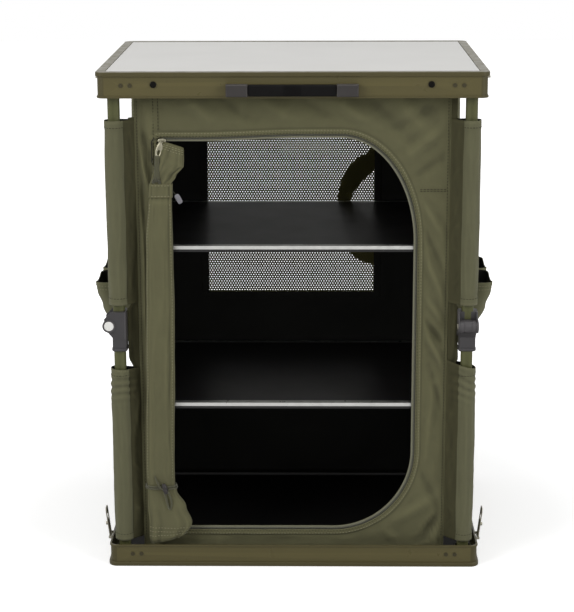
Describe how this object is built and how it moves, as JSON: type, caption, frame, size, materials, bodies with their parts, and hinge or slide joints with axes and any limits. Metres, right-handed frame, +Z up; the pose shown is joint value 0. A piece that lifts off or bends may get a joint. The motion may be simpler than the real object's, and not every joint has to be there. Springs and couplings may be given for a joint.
{
  "type": "collapsible storage box",
  "caption": "Folding storage cupboard: two trays on jointed legs that fold in the middle, a fabric body with a rolled-up zipped door, shelves, side pockets and a strap handle.",
  "frame": {"origin": "floor level under the middle of the bottom tray", "axes": "+Z up; -Y towards the open front; +X to the right seen from the front"},
  "size_m": [0.6536, 0.475, 0.8],
  "materials": {
    "tray_paint": "satin olive powder coat",
    "base_board": "dark laminated board",
    "worktop": "light grey laminated board",
    "rivet_metal": "bare rivet",
    "bracket_steel": "olive painted steel",
    "latch_steel": "zinc plated",
    "black_steel": "black",
    "handle_cap": "grey moulded plastic",
    "handle_grip": "soft black",
    "shelf_board": "black laminated board",
    "shelf_trim": "bright trim",
    "net": "olive net",
    "cloth": "olive coated polyester",
    "tie_cloth": "olive webbing",
    "zip_cloth": "zip tape",
    "zip_metal": "plated slider",
    "pull_cloth": "webbing pull",
    "leg_paint": "olive powder coat",
    "knuckle_plastic": "dark grey moulded nylon",
    "button_plastic": "dark grey moulded nylon",
    "spring_steel": "bare steel"
  },
  "bodies": {
    "base": {"base_frame": "tray_paint", "base_panel": "base_board", "base_rivets": "rivet_metal", "leg_brackets_lower": "bracket_steel", "latch_bases": "latch_steel", "front_panel": "cloth", "side_walls": "cloth", "back_wall": "cloth", "mesh_window": "net", "door_roll": "cloth", "door_ties": "tie_cloth", "zip_tape": "zip_cloth", "zip_slider": "zip_metal", "leg_sleeves": "cloth", "side_pockets": "cloth"},
    "top": {"top_frame": "tray_paint", "top_panel": "worktop", "top_rivets": "rivet_metal", "leg_brackets_upper": "bracket_steel", "frame_screws": "black_steel", "latch_catches": "latch_steel", "handle_end_caps": "handle_cap"},
    "handle": {"handle_strap": "handle_grip"},
    "upper_shelf": {"upper_shelf": "shelf_board", "upper_shelf_trims": "shelf_trim"},
    "lower_shelf": {"lower_shelf": "shelf_board", "lower_shelf_trims": "shelf_trim"},
    "left_hasp": {"left_hasp": "latch_steel"},
    "right_hasp": {"right_hasp": "latch_steel"},
    "zip_pull": {"zip_pull": "pull_cloth"},
    "front_left_lower": {"front_left_lower_tube": "leg_paint", "front_left_lower_knuckle": "knuckle_plastic", "front_left_knuckle_pin": "rivet_metal", "front_left_lock_spring": "spring_steel"},
    "front_left_upper": {"front_left_upper_tube": "leg_paint", "front_left_upper_knuckle": "knuckle_plastic"},
    "front_left_button": {"front_left_lock_button": "button_plastic"},
    "front_right_lower": {"front_right_lower_tube": "leg_paint", "front_right_lower_knuckle": "knuckle_plastic", "front_right_knuckle_pin": "rivet_metal", "front_right_lock_spring": "spring_steel"},
    "front_right_upper": {"front_right_upper_tube": "leg_paint", "front_right_upper_knuckle": "knuckle_plastic"},
    "front_right_button": {"front_right_lock_button": "button_plastic"},
    "rear_right_lower": {"rear_right_lower_tube": "leg_paint", "rear_right_lower_knuckle": "knuckle_plastic", "rear_right_knuckle_pin": "rivet_metal", "rear_right_lock_spring": "spring_steel"},
    "rear_right_upper": {"rear_right_upper_tube": "leg_paint", "rear_right_upper_knuckle": "knuckle_plastic"},
    "rear_right_button": {"rear_right_lock_button": "button_plastic"},
    "rear_left_lower": {"rear_left_lower_tube": "leg_paint", "rear_left_lower_knuckle": "knuckle_plastic", "rear_left_knuckle_pin": "rivet_metal", "rear_left_lock_spring": "spring_steel"},
    "rear_left_upper": {"rear_left_upper_tube": "leg_paint", "rear_left_upper_knuckle": "knuckle_plastic"},
    "rear_left_button": {"rear_left_lock_button": "button_plastic"}
  },
  "joints": [
    {"name": "fold", "type": "hinge", "parent": "base", "child": "front_left_lower", "pos_m": [-0.2745, -0.207, 0.0235], "axis": [0, 1, 0], "range_deg": [0, 86], "deforming": ["front_panel", "side_walls", "back_wall", "mesh_window", "door_roll", "door_ties", "zip_tape", "zip_slider", "leg_sleeves", "side_pockets", "zip_pull"]},
    {"name": "front_left_knee", "type": "hinge", "parent": "front_left_lower", "child": "front_left_upper", "pos_m": [-0.2895, -0.207, 0.4], "axis": [0, 1, 0], "range_deg": [-172, 0]},
    {"name": "front_left_button_press", "type": "slide", "parent": "front_left_lower", "child": "front_left_button", "axis": [0, 1, 0], "range_m": [0, 0.0034], "stiffness_N_per_m": 800, "springref_m": -0.002, "deforming": ["front_left_lock_spring"]},
    {"name": "front_right_fold", "type": "hinge", "parent": "base", "child": "front_right_lower", "pos_m": [0.2745, -0.207, 0.0235], "axis": [-1, 0, 0], "range_deg": [0, 86]},
    {"name": "front_right_knee", "type": "hinge", "parent": "front_right_lower", "child": "front_right_upper", "pos_m": [0.2745, -0.222, 0.4], "axis": [-1, 0, 0], "range_deg": [-172, 0]},
    {"name": "front_right_button_press", "type": "slide", "parent": "front_right_lower", "child": "front_right_button", "axis": [-1, 0, 0], "range_m": [0, 0.0034], "stiffness_N_per_m": 800, "springref_m": -0.002, "deforming": ["front_right_lock_spring"]},
    {"name": "rear_right_fold", "type": "hinge", "parent": "base", "child": "rear_right_lower", "pos_m": [0.2745, 0.207, 0.0235], "axis": [0, -1, 0], "range_deg": [0, 86]},
    {"name": "rear_right_knee", "type": "hinge", "parent": "rear_right_lower", "child": "rear_right_upper", "pos_m": [0.2895, 0.207, 0.4], "axis": [0, -1, 0], "range_deg": [-172, 0]},
    {"name": "rear_right_button_press", "type": "slide", "parent": "rear_right_lower", "child": "rear_right_button", "axis": [0, -1, 0], "range_m": [0, 0.0034], "stiffness_N_per_m": 800, "springref_m": -0.002, "deforming": ["rear_right_lock_spring"]},
    {"name": "rear_left_fold", "type": "hinge", "parent": "base", "child": "rear_left_lower", "pos_m": [-0.2745, 0.207, 0.0235], "axis": [1, 0, 0], "range_deg": [0, 86]},
    {"name": "rear_left_knee", "type": "hinge", "parent": "rear_left_lower", "child": "rear_left_upper", "pos_m": [-0.2745, 0.222, 0.4], "axis": [1, 0, 0], "range_deg": [-172, 0]},
    {"name": "rear_left_button_press", "type": "slide", "parent": "rear_left_lower", "child": "rear_left_button", "axis": [1, 0, 0], "range_m": [0, 0.0034], "stiffness_N_per_m": 800, "springref_m": -0.002, "deforming": ["rear_left_lock_spring"]},
    {"name": "top_lift", "type": "hinge", "parent": "front_left_upper", "child": "top", "pos_m": [-0.2745, -0.207, 0.7765], "axis": [0, 1, 0], "range_deg": [0, 86]},
    {"name": "upper_shelf_drop", "type": "slide", "parent": "base", "child": "upper_shelf", "axis": [0, 0, 1], "range_m": [-0.46058, 0]},
    {"name": "lower_shelf_drop", "type": "slide", "parent": "base", "child": "lower_shelf", "axis": [0, 0, 1], "range_m": [-0.23124, 0]},
    {"name": "handle_pull", "type": "slide", "parent": "top", "child": "handle", "axis": [0, -1, 0], "range_m": [0, 0.0075], "stiffness_N_per_m": 200, "springref_m": -0.001},
    {"name": "left_hasp_swing", "type": "hinge", "parent": "base", "child": "left_hasp", "pos_m": [-0.3032, -0.165, 0.028], "axis": [0, -1, 0], "range_deg": [-7, 103]},
    {"name": "right_hasp_swing", "type": "hinge", "parent": "base", "child": "right_hasp", "pos_m": [0.3032, -0.165, 0.028], "axis": [0, 1, 0], "range_deg": [-7, 103]},
    {"name": "zip_pull_swing", "type": "hinge", "parent": "base", "child": "zip_pull", "pos_m": [-0.2036, -0.2052, 0.69], "axis": [-1, 0, 0], "range_deg": [0, 90]}
  ],
  "couplings": [
    {"joint": "front_left_knee", "follows": "fold", "ratio": -2},
    {"joint": "front_right_knee", "follows": "fold", "ratio": -2},
    {"joint": "front_right_fold", "follows": "fold", "ratio": 1},
    {"joint": "rear_right_knee", "follows": "fold", "ratio": -2},
    {"joint": "rear_right_fold", "follows": "fold", "ratio": 1},
    {"joint": "rear_left_knee", "follows": "fold", "ratio": -2},
    {"joint": "rear_left_fold", "follows": "fold", "ratio": 1},
    {"joint": "top_lift", "follows": "fold", "ratio": 1},
    {"joint": "upper_shelf_drop", "follows": "fold", "m_per_rad": -0.30685},
    {"joint": "lower_shelf_drop", "follows": "fold", "m_per_rad": -0.15406}
  ]
}
